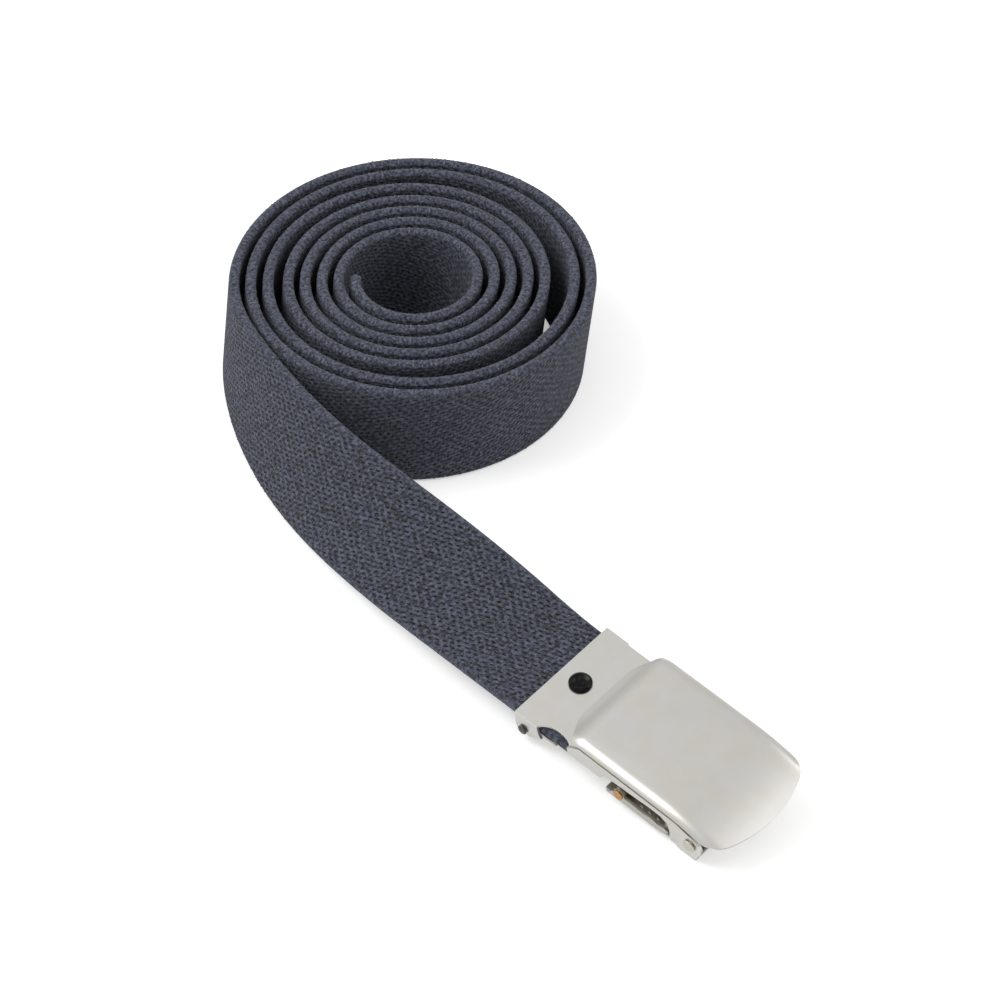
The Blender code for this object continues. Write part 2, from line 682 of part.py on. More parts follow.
def clamp_jaw(pivot, mat):
    """The toothed jaw that holds the sewn-in end of the strap up against the tail plate."""
    half = WEB_WIDTH / 2.0 - GAP
    bottom, top = -0.0004, 0.0004
    reach = CLAMP_REACH - CLAMP_PIN_X
    barrel = [(0.0, half), (CLAMP_BARREL_RADIUS, half)]
    barrel += [(r, -h) for r, h in reversed(barrel)]
    jaw = turned("clamp_jaw", barrel, OBJECT, pivot, mat=mat)
    jaw.rotation_euler = (math.radians(90.0), 0.0, 0.0)
    inset = half - 0.0004
    leaf_mesh = level_plate("jaw_leaf", rectangle(0.0, reach, -inset, inset), bottom, top)
    leaf = helper_object("jaw_leaf", leaf_mesh, pivot)
    boolean(jaw, leaf, "UNION")
    web_under = WEB_MID_Z - WEB_THICKNESS / 2.0 - CLAMP_PIN_Z - GAP
    tooth = [(reach - 0.0016, bottom + 0.0001), (reach - 0.0001, bottom + 0.0001), (reach - 0.0006, web_under)]
    tooth_mesh = upright_plate("jaw_tooth", tooth, -inset + 0.0003, inset - 0.0003)
    row = helper_object("jaw_tooth", tooth_mesh, pivot)
    boolean(jaw, row, "UNION")
    window_from = CLAMP_BARREL_RADIUS + 0.0002
    window_to = BELT_RIVET_X - CLAMP_PIN_X + BURR_RADIUS + 0.0005
    side = BURR_RADIUS + 0.0005
    window_mesh = level_plate("jaw_window", rectangle(window_from, window_to, -side, side), -0.003, 0.003)
    boolean(jaw, helper_object("jaw_window", window_mesh, pivot), "DIFFERENCE")
    across = WEB_WIDTH + 2.0 * CUTTER_EXTRA
    bore = bore_cutter("jaw_bore", CLAMP_PIN_RADIUS + RUNNING_FIT, across, (0.0, 0.0, 0.0), pivot)
    boolean(jaw, bore, "DIFFERENCE")


def belt_rivet(mat):
    """The dark tubular rivet through tail plate and strap, with a dished head."""
    r, head = BELT_RIVET_RADIUS, BELT_RIVET_HEAD_RADIUS
    seat = PLATE_TOP + GAP
    high = seat + BELT_RIVET_HEAD_HEIGHT
    low = WEB_MID_Z - WEB_THICKNESS / 2.0 - 2.0 * GAP - BURR_THICKNESS - 0.0002
    profile = [(0.0, seat + 0.0001), (r * 0.8, seat + 0.0002), (head * 0.62, high - 0.0001)]
    profile += [(head * 0.78, high), (head, seat + 0.0002), (head * 0.97, seat)]
    profile += [(r, seat), (r, low), (0.0, low)]
    rivet = turned("belt_rivet", profile, OBJECT, BUCKLE, mat=mat)
    rivet.location = (BELT_RIVET_X, 0.0, 0.0)


def rivet_burr(mat):
    """The washer that spreads the rivet's pull on the underside of the strap."""
    top = WEB_MID_Z - WEB_THICKNESS / 2.0 - GAP
    bottom = top - BURR_THICKNESS
    inner = BELT_RIVET_RADIUS + RUNNING_FIT
    profile = [(BURR_RADIUS, top), (BURR_RADIUS, bottom), (inner, bottom), (inner, top)]
    burr = turned("rivet_burr", profile, OBJECT, BUCKLE, closed=True, mat=mat)
    burr.location = (BELT_RIVET_X, 0.0, 0.0)


def hinge_empty(name, x, z):
    pivot = add_empty(name, OBJECT, BUCKLE)
    pivot.location = (x, 0.0, z)
    return pivot


def center_on_table(root):
    """Move the whole object so that the middle of its footprint is over the origin."""
    bpy.context.view_layer.update()
    graph = bpy.context.evaluated_depsgraph_get()
    low = [math.inf] * 3
    high = [-math.inf] * 3
    for obj in OBJECT.objects:
        if obj.type != "MESH":
            continue
        evaluated = obj.evaluated_get(graph)
        for vertex in evaluated.data.vertices:
            place = evaluated.matrix_world @ vertex.co
            for axis in range(3):
                low[axis] = min(low[axis], place[axis])
                high[axis] = max(high[axis], place[axis])
    root.location = (-(low[0] + high[0]) / 2.0, -(low[1] + high[1]) / 2.0, -low[2])


def build():
    navy = material("belt_webbing", (0.045, 0.055, 0.085), 0.9, 0.0)
    nickel = {"roughness": 0.3, "metallic": 1.0, "color": (0.78, 0.77, 0.73)}
    half = FRAME_OUTER_WIDTH / 2.0
    belt_webbing(ROOT, navy)
    buckle_frame(material("buckle_frame", **nickel))
    back_plate(material("back_plate", **nickel))
    guide_roller(material("guide_roller", (0.62, 0.36, 0.12), 0.35, 1.0))
    cover_pivot = hinge_empty("cover_pivot", HINGE_X, HINGE_Z)
    cover_shell(cover_pivot, material("cover_shell", **nickel))
    cam_lever(cover_pivot, material("cam_lever", (0.55, 0.54, 0.51), 0.4, 1.0))
    cover_spring(material("cover_spring", (0.35, 0.35, 0.36), 0.35, 1.0))
    spring_rivet(material("spring_rivet", (0.6, 0.59, 0.56), 0.4, 1.0))
    clamp_pivot = hinge_empty("clamp_pivot", CLAMP_PIN_X, CLAMP_PIN_Z)
    clamp_jaw(clamp_pivot, material("clamp_jaw", (0.55, 0.54, 0.51), 0.4, 1.0))
    belt_rivet(material("belt_rivet", (0.03, 0.03, 0.03), 0.35, 1.0))
    rivet_burr(material("rivet_burr", (0.03, 0.03, 0.03), 0.4, 1.0))
    pins = (
        ("cover_hinge_pin", HINGE_PIN_RADIUS, HINGE_X, HINGE_Z),
        ("clamp_pin", CLAMP_PIN_RADIUS, CLAMP_PIN_X, CLAMP_PIN_Z),
        ("guide_roller_pin", ROLLER_PIN_RADIUS, ROLLER_X, ROLLER_Z),
    )
    for name, radius, x, z in pins:
        steel = material(name, (0.5, 0.49, 0.46), 0.4, 1.0)
        cross_pin(name, radius, half + GAP, radius + PIN_HEAD_EXTRA, x, z, BUCKLE, steel)
    center_on_table(ROOT)


clear_scene()
OBJECT = new_collection("gait_belt")
CUTTERS = new_collection("cutters")
ROOT = add_empty("belt_origin", OBJECT)
BUCKLE = add_empty("buckle_origin", OBJECT, ROOT)
BUCKLE.location = buckle_place()
BUCKLE.rotation_euler = buckle_turn().to_euler()
build()
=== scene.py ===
"""Looks of the rolled gait belt: woven navy strap, satin nickel cam buckle, pale studio table.

The strap is swept along the same path as the CAD strap, with finer steps. Lengths are in metres.
"""

import math

import bmesh
import bpy
import numpy as np
from mathutils import Matrix, Vector


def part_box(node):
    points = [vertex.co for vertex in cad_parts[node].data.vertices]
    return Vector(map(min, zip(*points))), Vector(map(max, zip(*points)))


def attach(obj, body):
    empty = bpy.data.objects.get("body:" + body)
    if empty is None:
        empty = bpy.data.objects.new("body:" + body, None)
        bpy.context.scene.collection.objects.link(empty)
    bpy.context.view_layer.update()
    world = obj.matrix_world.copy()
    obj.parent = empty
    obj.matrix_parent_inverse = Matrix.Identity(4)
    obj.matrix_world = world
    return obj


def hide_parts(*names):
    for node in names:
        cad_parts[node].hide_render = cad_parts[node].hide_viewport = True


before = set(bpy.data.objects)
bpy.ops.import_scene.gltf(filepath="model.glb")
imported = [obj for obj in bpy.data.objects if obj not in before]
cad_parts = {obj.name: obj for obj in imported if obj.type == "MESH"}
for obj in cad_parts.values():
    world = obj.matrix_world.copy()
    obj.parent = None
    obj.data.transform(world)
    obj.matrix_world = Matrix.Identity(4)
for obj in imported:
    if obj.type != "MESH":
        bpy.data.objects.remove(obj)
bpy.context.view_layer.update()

# strap, as the CAD winds it
WEB_WIDTH = 0.032
WEB_THICKNESS = 0.003
COIL_TURNS = 7.0
COIL_INNER_RADIUS = 0.0154
COIL_PITCH = 0.0046
COIL_START_ANGLE = math.radians(223.5)
LOOSE_TURN = 4.85
LOOSE_TURN_SPAN = 0.55
LOOSE_TURN_GROWTH = 0.0022
LOOSE_TURN_SHIFT = 0.0012
COIL_LEAN = 0.10
COIL_LEAN_ANGLE = math.radians(43.5)
FREE_LENGTH = 0.1644
FREE_TURN_LENGTH = 0.0896
FREE_RISE_START = 0.30
TWIST_EASE = 0.12
WEB_IN_BUCKLE = 0.019
WEB_MID_Z = 0.0044
BUCKLE_PITCH = math.radians(4.0)
BUCKLE_ROLL = math.radians(8.0)
SHEET = 0.0008
GAP = 0.0003
FRAME_OUTER_WIDTH = WEB_WIDTH + 2.0 * (SHEET + GAP)
FOOT_TIP = 0.0608
FOOT_Z = 0.0015
COIL_STEPS_PER_TURN = 120
FREE_STEPS = 200
TAIL_STEPS = 20

# camera
VIEW_AZIMUTH = 43.5
VIEW_ELEVATION = 44.8
VIEW_DISTANCE = 1.072
VIEW_LENS = 144.0
VIEW_TARGET = Vector((-0.0124, -0.0068, 0.0))


def smooth(value):
    value = min(max(value, 0.0), 1.0)
    return value * value * (3.0 - 2.0 * value)


# ---- the strap's path ----


def coil_point(turns):
    """The middle of the strap's thickness after so many turns from the inner end."""
    angle = COIL_START_ANGLE + math.tau * turns
    loose = smooth((turns - LOOSE_TURN) / LOOSE_TURN_SPAN + 0.5)
    radius = COIL_INNER_RADIUS + COIL_PITCH * turns + LOOSE_TURN_GROWTH * loose
    shift = Vector((math.cos(COIL_LEAN_ANGLE), math.sin(COIL_LEAN_ANGLE), 0.0)) * LOOSE_TURN_SHIFT * loose
    return Vector((radius * math.cos(angle), radius * math.sin(angle), 0.0)) + shift


def lean():
    return Vector((math.cos(COIL_LEAN_ANGLE), math.sin(COIL_LEAN_ANGLE), 0.0)) * COIL_LEAN


def coil_stations():
    count = int(COIL_STEPS_PER_TURN * COIL_TURNS)
    stations = []
    for i in range(count):
        turns = i * COIL_TURNS / count
        ahead = coil_point(turns + 0.01) - coil_point(turns - 0.01)
        outward = ahead.normalized().cross(Vector((0.0, 0.0, 1.0)))
        stations.append((coil_point(turns), Vector((0.0, 0.0, 1.0)) + lean(), outward))
    return stations


def free_heading(travel):
    start = COIL_START_ANGLE + math.radians(90.0) - math.radians(360.0)
    end_share = math.exp(-FREE_LENGTH / FREE_TURN_LENGTH)
    share = (math.exp(-travel / FREE_TURN_LENGTH) - end_share) / (1.0 - end_share)
    return start * max(share, 0.0)


def buckle_turn():
    return Matrix.Rotation(BUCKLE_PITCH, 3, "Y") @ Matrix.Rotation(BUCKLE_ROLL, 3, "X")


def buckle_height():
    return -(buckle_turn() @ Vector((FOOT_TIP, -FRAME_OUTER_WIDTH / 2.0, FOOT_Z))).z


def tail_entry():
    return buckle_turn() @ Vector((0.0, -WEB_WIDTH / 2.0, WEB_MID_Z))


def free_rise(travel):
    begin = FREE_RISE_START * FREE_LENGTH
    span = FREE_LENGTH - begin
    u = min(max((travel - begin) / span, 0.0), 1.0)
    height = buckle_height() + tail_entry().z - WEB_THICKNESS / 2.0
    end_slope = -math.tan(BUCKLE_PITCH) * span
    return height * (3.0 * u * u - 2.0 * u**3) + end_slope * (u**3 - u * u)


def twist_share(way):
    """Share of the quarter turn made after this share of the way, eased over a short stretch at each end."""
    if way < TWIST_EASE:
        return way * way / (2.0 * TWIST_EASE * (1.0 - TWIST_EASE))
    if way > 1.0 - TWIST_EASE:
        return 1.0 - twist_share(max(1.0 - way, 0.0))
    return (way - TWIST_EASE / 2.0) / (1.0 - TWIST_EASE)


def free_stations():
    spot = coil_point(COIL_TURNS)
    step = FREE_LENGTH / FREE_STEPS
    spots = []
    for i in range(FREE_STEPS + 1):
        travel = i * step
        twist = (math.radians(90.0) - BUCKLE_ROLL) * twist_share(travel / FREE_LENGTH)
        height = WEB_THICKNESS / 2.0 * math.sin(twist) + free_rise(travel)
        heading = free_heading(travel)
        left = Vector((-math.sin(heading), math.cos(heading), 0.0))
        width = Vector((0.0, 0.0, math.cos(twist))) + left * math.sin(twist)
        width += lean() * (1.0 - smooth(travel / FREE_LENGTH * 2.0))
        spots.append((Vector((spot.x, spot.y, height)), width))
        middle = free_heading(travel + step / 2.0)
        spot = spot + Vector((math.cos(middle), math.sin(middle), 0.0)) * step
    stations = []
    for i, (place, width) in enumerate(spots):
        ahead = spots[min(i + 1, FREE_STEPS)][0] - spots[max(i - 1, 0)][0]
        stations.append((place, width, ahead.cross(width).normalized()))
    return stations


def buckle_place():
    near_edge = free_stations()[-1][0]
    entry = tail_entry()
    return Vector((near_edge.x - entry.x, near_edge.y - entry.y, buckle_height()))


def tail_stations():
    turn = buckle_turn()
    start = buckle_place() + tail_entry()
    stations = []
    for i in range(TAIL_STEPS + 1):
        place = start + turn.col[0] * (WEB_IN_BUCKLE * i / TAIL_STEPS)
        stations.append((place, turn.col[1], turn.col[2]))
    return stations


def strap_stations():
    """Every station of the strap in the row frame, moved to where the CAD strap lies."""
    stations = coil_stations() + free_stations()[:-1] + tail_stations()
    half = WEB_THICKNESS / 2.0
    low = Vector((math.inf, math.inf, math.inf))
    for place, width, face in stations:
        for u in (0.0, WEB_WIDTH):
            for v in (-half, half):
                corner = place + width * u + face * v
                low = Vector([min(a, b) for a, b in zip(low, corner)])
    node_low = Vector(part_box("belt_webbing")[0])
    shift = Vector((node_low.x - low.x, node_low.y - low.y, max(node_low.z, 0.0)))
    return [(place + shift, width, face) for place, width, face in stations]


STATIONS = strap_stations()


def travel_along():
    """Distance from the inner end at each station, along the middle of the strap's width."""
    travel = [0.0]
    for (a, wa, _), (b, wb, _) in zip(STATIONS, STATIONS[1:]):
        mid_a, mid_b = a + wa * WEB_WIDTH / 2.0, b + wb * WEB_WIDTH / 2.0
        travel.append(travel[-1] + (mid_b - mid_a).length)
    return travel


TRAVEL = travel_along()
STRAP_LENGTH = TRAVEL[-1]

# ---- materials ----


class Shader:
    """Small helper that adds nodes to a material and wires them by name."""

    def __init__(self, name):
        self.material = bpy.data.materials.new(name)
        self.material.use_nodes = True
        self.tree = self.material.node_tree
        self.principled = self.tree.nodes["Principled BSDF"]

    def add(self, kind, **settings):
        node = self.tree.nodes.new(kind)
        for key, value in settings.items():
            setattr(node, key, value)
        return node

    def wire(self, output, socket):
        if isinstance(output, (int, float)):
            socket.default_value = output
        else:
            self.tree.links.new(output, socket)

    def math(self, operation, a, b=0.0, c=0.0):
        node = self.add("ShaderNodeMath", operation=operation)
        for value, socket in zip((a, b, c), node.inputs):
            self.wire(value, socket)
        return node.outputs[0]

    def noise(self, vector, scale, detail=4.0, roughness=0.5):
        node = self.add("ShaderNodeTexNoise")
        self.wire(vector, node.inputs["Vector"])
        node.inputs["Scale"].default_value = scale
        node.inputs["Detail"].default_value = detail
        node.inputs["Roughness"].default_value = roughness
        return node.outputs["Fac"]

    def mix(self, factor, a, b):
        node = self.add("ShaderNodeMix", data_type="RGBA")
        self.wire(factor, node.inputs["Factor"])
        for value, socket in ((a, node.inputs[6]), (b, node.inputs[7])):
            if isinstance(value, tuple):
                socket.default_value = (*value, 1.0)
            else:
                self.wire(value, socket)
        return node.outputs[2]

    def ramp(self, value, low, high, low_value=0.0, high_value=1.0):
        node = self.add("ShaderNodeMapRange", clamp=True, interpolation_type="SMOOTHSTEP")
        for item, socket in zip((value, low, high, low_value, high_value), node.inputs):
            self.wire(item, socket)
        return node.outputs[0]

    def bump(self, height, distance, strength=1.0):
        node = self.add("ShaderNodeBump")
        node.inputs["Strength"].default_value = strength
        node.inputs["Distance"].default_value = distance
        self.wire(height, node.inputs["Height"])
        self.wire(node.outputs["Normal"], self.principled.inputs["Normal"])


RIB_PITCH = 0.00105
FLECK_ROW_PITCH = 0.00125
FLECK_PITCH = 0.0021
FLECK_SLANT = math.radians(20.0)
SELVEDGE_WIDTH = 0.0022
YARN_LIGHT = (0.150, 0.168, 0.235)
YARN_DARK = (0.026, 0.027, 0.032)
# near-black warm colour of the weave's gaps: painted shade in the recesses between yarns
GAP_SHADE_COLOR = (0.008, 0.006, 0.005)


def woven_strap_material():
    """Slanted rows of flecks in mottled yarn, laid out by the strap's own length and width; the flecks are
    the weave's real recesses, and their near-black colour is painted shade.
    """
    s = Shader("navy_webbing")
    uv = s.add("ShaderNodeUVMap", uv_map="weave").outputs[0]
    split = s.add("ShaderNodeSeparateXYZ")
    s.wire(uv, split.inputs[0])
    along, across = split.outputs[0], split.outputs[1]
    position = s.add("ShaderNodeTexCoord").outputs["Object"]
    wander = s.math("MULTIPLY", s.math("SUBTRACT", s.noise(position, 420.0, 2.0), 0.5), 0.0009)
    row = s.math("SUBTRACT", s.math("MULTIPLY", across, math.cos(FLECK_SLANT)),
                 s.math("MULTIPLY", along, math.sin(FLECK_SLANT)))
    row = s.math("DIVIDE", s.math("ADD", row, wander), FLECK_ROW_PITCH)
    line = s.math("ADD", s.math("MULTIPLY", along, math.cos(FLECK_SLANT)),
                  s.math("MULTIPLY", across, math.sin(FLECK_SLANT)))
    stagger = s.math("MULTIPLY", s.math("FLOOR", row), 0.41)
    line = s.math("ADD", s.math("DIVIDE", line, FLECK_PITCH), stagger)
    row_off = s.math("ABSOLUTE", s.math("SUBTRACT", s.math("FRACT", row), 0.5))
    line_off = s.math("ABSOLUTE", s.math("SUBTRACT", s.math("FRACT", line), 0.5))
    radius = s.math("SQRT", s.math("ADD", s.math("POWER", s.math("MULTIPLY", row_off, 1.5), 2.0),
                                   s.math("POWER", line_off, 2.0)))
    fleck = s.ramp(radius, 0.20, 0.42, 1.0, 0.0)
    rib = s.math("ABSOLUTE", s.math("SINE", s.math("MULTIPLY", across, math.pi / RIB_PITCH)))
    pick = s.math("ABSOLUTE", s.math("SINE", s.math("MULTIPLY", along, math.pi / (RIB_PITCH * 0.8))))
    edge_near = s.ramp(across, 0.0, SELVEDGE_WIDTH, 1.0, 0.0)
    edge_far = s.ramp(across, WEB_WIDTH - SELVEDGE_WIDTH, WEB_WIDTH, 0.0, 1.0)
    selvedge = s.math("MAXIMUM", edge_near, edge_far)
    fleck = s.math("MULTIPLY", fleck, s.math("SUBTRACT", 1.0, s.math("MULTIPLY", selvedge, 0.8)))
    fibre = s.noise(position, 5200.0, 5.0, 0.65)
    grain = s.noise(position, 1100.0, 2.0, 0.6)
    tone = s.math("ADD", s.math("MULTIPLY", fibre, 0.35), s.math("MULTIPLY", grain, 0.65))
    yarn = s.mix(s.ramp(tone, 0.36, 0.66), YARN_DARK, YARN_LIGHT)
    fleck_shade_strength = s.math("MULTIPLY", fleck, s.ramp(s.noise(position, 700.0, 2.0), 0.3, 0.6, 0.45, 1.0))
    # the flecks are painted near-black over the yarn as shade in the weave's gaps
    color = s.mix(fleck_shade_strength, yarn, GAP_SHADE_COLOR)
    s.wire(color, s.principled.inputs["Base Color"])
    s.principled.inputs["Roughness"].default_value = 0.88
    s.principled.inputs["Specular IOR Level"].default_value = 0.25
    s.principled.inputs["Sheen Weight"].default_value = 0.10
    s.principled.inputs["Sheen Roughness"].default_value = 0.5
    height = s.math("ADD", s.math("MULTIPLY", rib, 0.45), s.math("MULTIPLY", pick, 0.2))
    height = s.math("ADD", height, s.math("MULTIPLY", fibre, 0.55))
    height = s.math("SUBTRACT", height, s.math("MULTIPLY", fleck, 0.9))
    s.bump(height, 0.0005, 1.0)
    return s.material


def painted_light_edge_yarn_material():
    s = Shader("edge_yarn")
    position = s.add("ShaderNodeTexCoord").outputs["Object"]
    fibre = s.noise(position, 4200.0, 5.0, 0.6)
    patch = s.noise(position, 700.0, 2.0)
    tone = s.math("ADD", s.math("MULTIPLY", fibre, 0.5), s.math("MULTIPLY", patch, 0.6))
    # lighter than the strap's own yarn: painted light on the edges that face up in the coil, over random
    # yarn tone
    color = s.mix(s.ramp(tone, 0.42, 0.68), (0.034, 0.036, 0.044), (0.190, 0.205, 0.270))
    s.wire(color, s.principled.inputs["Base Color"])
    s.principled.inputs["Roughness"].default_value = 0.9
    s.principled.inputs["Specular IOR Level"].default_value = 0.25
    s.principled.inputs["Sheen Weight"].default_value = 0.12
    s.bump(fibre, 0.0002, 0.7)
    return s.material


def satin_nickel(name, color=(0.80, 0.79, 0.755), roughness=0.33, grain=0.05):
    s = Shader(name)
    position = s.add("ShaderNodeTexCoord").outputs["Object"]
    stretch = s.add("ShaderNodeMapping")
    s.wire(position, stretch.inputs["Vector"])
    stretch.inputs["Scale"].default_value = (0.12, 1.0, 1.0)
    brush = s.noise(stretch.outputs[0], 6500.0, 3.0)
    cloud = s.noise(position, 160.0, 4.0)
    rough = s.math("ADD", roughness - grain, s.math("MULTIPLY", brush, grain * 1.2))
    rough = s.math("ADD", rough, s.math("MULTIPLY", cloud, grain * 1.2))
    s.wire(rough, s.principled.inputs["Roughness"])
    warm = tuple(c * f for c, f in zip(color, (0.97, 0.96, 0.92)))
    tint = s.mix(s.ramp(cloud, 0.35, 0.68), color, warm)
    s.wire(tint, s.principled.inputs["Base Color"])
    s.principled.inputs["Metallic"].default_value = 1.0
    s.bump(s.math("ADD", brush, s.math("MULTIPLY", cloud, 0.5)), 0.00002, 0.35)
    return s.material


def dark_metal(name, color, roughness):
    s = Shader(name)
    position = s.add("ShaderNodeTexCoord").outputs["Object"]
    cloud = s.noise(position, 900.0, 4.0)
    worn = tuple(min(1.0, c * 1.3 + 0.015) for c in color)
    s.wire(s.mix(s.ramp(cloud, 0.45, 0.75), color, worn), s.principled.inputs["Base Color"])
    s.principled.inputs["Metallic"].default_value = 1.0
    s.principled.inputs["Roughness"].default_value = roughness
    s.bump(cloud, 0.00003, 0.5)
    return s.material


def table_material():
    s = Shader("pale_table")
    s.principled.inputs["Base Color"].default_value = (0.93, 0.93, 0.93, 1.0)
    s.principled.inputs["Roughness"].default_value = 1.0
    s.principled.inputs["Specular IOR Level"].default_value = 0.0
    seen = s.add("ShaderNodeLightPath").outputs["Is Camera Ray"]
    s.principled.inputs["Emission Color"].default_value = (1.0, 1.0, 1.0, 1.0)
    s.wire(s.math("MULTIPLY", seen, TABLE_LIFT), s.principled.inputs["Emission Strength"])
    return s.material


TABLE_LIFT = 0.42

# ---- pieces ----


def strap_section():
    """Half-round edges and flat faces, as points (across, out) with their weave coordinate."""
    half = WEB_THICKNESS / 2.0 * 0.97
    edge = half * 0.75
    points = []
    for i in range(7):
        angle = math.radians(-90.0 - 180.0 * i / 6.0)
        points.append((edge + edge * math.cos(angle), half * math.sin(angle)))
    for i in range(1, 14):
        points.append((edge + (WEB_WIDTH - 2.0 * edge) * i / 14.0, half))
    for i in range(7):
        angle = math.radians(90.0 - 180.0 * i / 6.0)
        points.append((WEB_WIDTH - edge + edge * math.cos(angle), half * math.sin(angle)))
    for i in range(1, 14):
        points.append((WEB_WIDTH - edge - (WEB_WIDTH - 2.0 * edge) * i / 14.0, -half))
    return points


def belt_strap(mat):
    section = strap_section()
    corners = len(section)
    bm = bmesh.new()
    rings = []
    for place, width, face in STATIONS:
        rings.append([bm.verts.new(place + width * u + face * v) for u, v in section])
    weave = bm.loops.layers.uv.new("weave")
    for i in range(len(rings) - 1):
        for j in range(corners):
            k = (j + 1) % corners
            quad = bm.faces.new((rings[i][j], rings[i][k], rings[i + 1][k], rings[i + 1][j]))
            quad.smooth = True
            side = 0.0 if section[j][1] + section[k][1] > 0 else 0.7 * FLECK_PITCH
            for loop, (m, n) in zip(quad.loops, ((i, j), (i, k), (i + 1, k), (i + 1, j))):
                loop[weave].uv = (TRAVEL[m] + side, section[n][0])
    for ring in (list(reversed(rings[0])), rings[-1]):
        cap = bm.faces.new(ring)
        for loop in cap.loops:
            loop[weave].uv = (loop.vert.co.x, loop.vert.co.z)
    bmesh.ops.recalc_face_normals(bm, faces=bm.faces)
    mesh = bpy.data.meshes.new("belt_strap")
    bm.to_mesh(mesh)
    bm.free()
    strap = bpy.data.objects.new("belt_strap", mesh)
    bpy.context.scene.collection.objects.link(strap)
    mesh.materials.append(mat)
    return strap


EDGE_LOOP_PITCH = 0.00118
EDGE_LOOP_RADIUS = 0.00056
EDGE_LOOP_INSET = 0.0006
PLAIN_END = 0.02


def edge_loop_tree(mat):
    """One weft yarn turned over the strap's edge, laid at every point of the line it is given."""
    tree = bpy.data.node_groups.new("edge_loops", "GeometryNodeTree")
    tree.interface.new_socket("Line", in_out="INPUT", socket_type="NodeSocketGeometry")
    size = tree.interface.new_socket("Yarn radius", in_out="INPUT", socket_type="NodeSocketFloat")
    seed = tree.interface.new_socket("Seed", in_out="INPUT", socket_type="NodeSocketInt")
    tree.interface.new_socket("Loops", in_out="OUTPUT", socket_type="NodeSocketGeometry")
    nodes, links = tree.nodes, tree.links
    group_in = nodes.new("NodeGroupInput")
    group_out = nodes.new("NodeGroupOutput")
    ball = nodes.new("GeometryNodeMeshUVSphere")
    ball.inputs["Segments"].default_value = 8
    ball.inputs["Rings"].default_value = 6
    links.new(group_in.outputs["Yarn radius"], ball.inputs["Radius"])
    across = nodes.new("GeometryNodeInputNamedAttribute")
    across.data_type = "FLOAT_VECTOR"
    across.inputs["Name"].default_value = "through"
    ahead = nodes.new("GeometryNodeInputNamedAttribute")
    ahead.data_type = "FLOAT_VECTOR"
    ahead.inputs["Name"].default_value = "ahead"
    first = nodes.new("FunctionNodeAlignRotationToVector")
    first.axis = "Z"
    second = nodes.new("FunctionNodeAlignRotationToVector")
    second.axis = "X"
    second.pivot_axis = "Z"
    links.new(across.outputs[0], first.inputs["Vector"])
    links.new(first.outputs[0], second.inputs["Rotation"])
    links.new(ahead.outputs[0], second.inputs["Vector"])
    spread = nodes.new("FunctionNodeRandomValue")
    spread.data_type = "FLOAT_VECTOR"
    spread.inputs["Min"].default_value = (0.85, 0.75, 2.15)
    spread.inputs["Max"].default_value = (1.08, 1.15, 2.65)
    links.new(group_in.outputs["Seed"], spread.inputs["Seed"])
    place = nodes.new("GeometryNodeInstanceOnPoints")
    links.new(group_in.outputs["Line"], place.inputs["Points"])
    links.new(ball.outputs["Mesh"], place.inputs["Instance"])
    links.new(second.outputs[0], place.inputs["Rotation"])
    links.new(spread.outputs[0], place.inputs["Scale"])
    real = nodes.new("GeometryNodeRealizeInstances")
    paint = nodes.new("GeometryNodeSetMaterial")
    paint.inputs["Material"].default_value = mat
    soft = nodes.new("GeometryNodeSetShadeSmooth")
    links.new(place.outputs[0], real.inputs[0])
    links.new(real.outputs[0], soft.inputs[0])
    links.new(soft.outputs[0], paint.inputs["Geometry"])
    links.new(paint.outputs[0], group_out.inputs[0])
    return tree, size.identifier, seed.identifier


def sample_strap(distance):
    """The strap's place, width and face direction this far from its inner end."""
    i = min(max(int(np.searchsorted(TRAVEL, distance)) - 1, 0), len(TRAVEL) - 2)
    share = (distance - TRAVEL[i]) / (TRAVEL[i + 1] - TRAVEL[i])
    first, second = STATIONS[i], STATIONS[i + 1]
    place, width, face = [a.lerp(b, share) for a, b in zip(first, second)]
    ahead = (second[0] - first[0]).normalized()
    return place, width, face.normalized(), ahead


def edge_loops(name, tree, edge_at, seed):
    """A row of weft turns over one edge of the strap."""
    group, size_id, seed_id = tree
    places, through, forward = [], [], []
    count = int((STRAP_LENGTH - PLAIN_END) / EDGE_LOOP_PITCH)
    for i in range(count):
        place, width, face, ahead = sample_strap(EDGE_LOOP_INSET + i * EDGE_LOOP_PITCH)
        places.append(place + width * edge_at)
        through.append(face)
        forward.append(ahead)
    mesh = bpy.data.meshes.new(name + "_line")
    mesh.from_pydata(places, [], [])
    for label, values in (("through", through), ("ahead", forward)):
        attribute = mesh.attributes.new(label, "FLOAT_VECTOR", "POINT")
        attribute.data.foreach_set("vector", [c for v in values for c in v])
    line = bpy.data.objects.new(name, mesh)
    bpy.context.scene.collection.objects.link(line)
    modifier = line.modifiers.new("loops", "NODES")
    modifier.node_group = group
    modifier[size_id] = EDGE_LOOP_RADIUS
    modifier[seed_id] = seed
    return freeze(line)


def freeze(obj):
    """Turn an object with live modifiers into a plain mesh."""
    bpy.context.view_layer.update()
    evaluated = obj.evaluated_get(bpy.context.evaluated_depsgraph_get())
    mesh = bpy.data.meshes.new_from_object(evaluated)
    obj.modifiers.clear()
    obj.data = mesh
    return obj


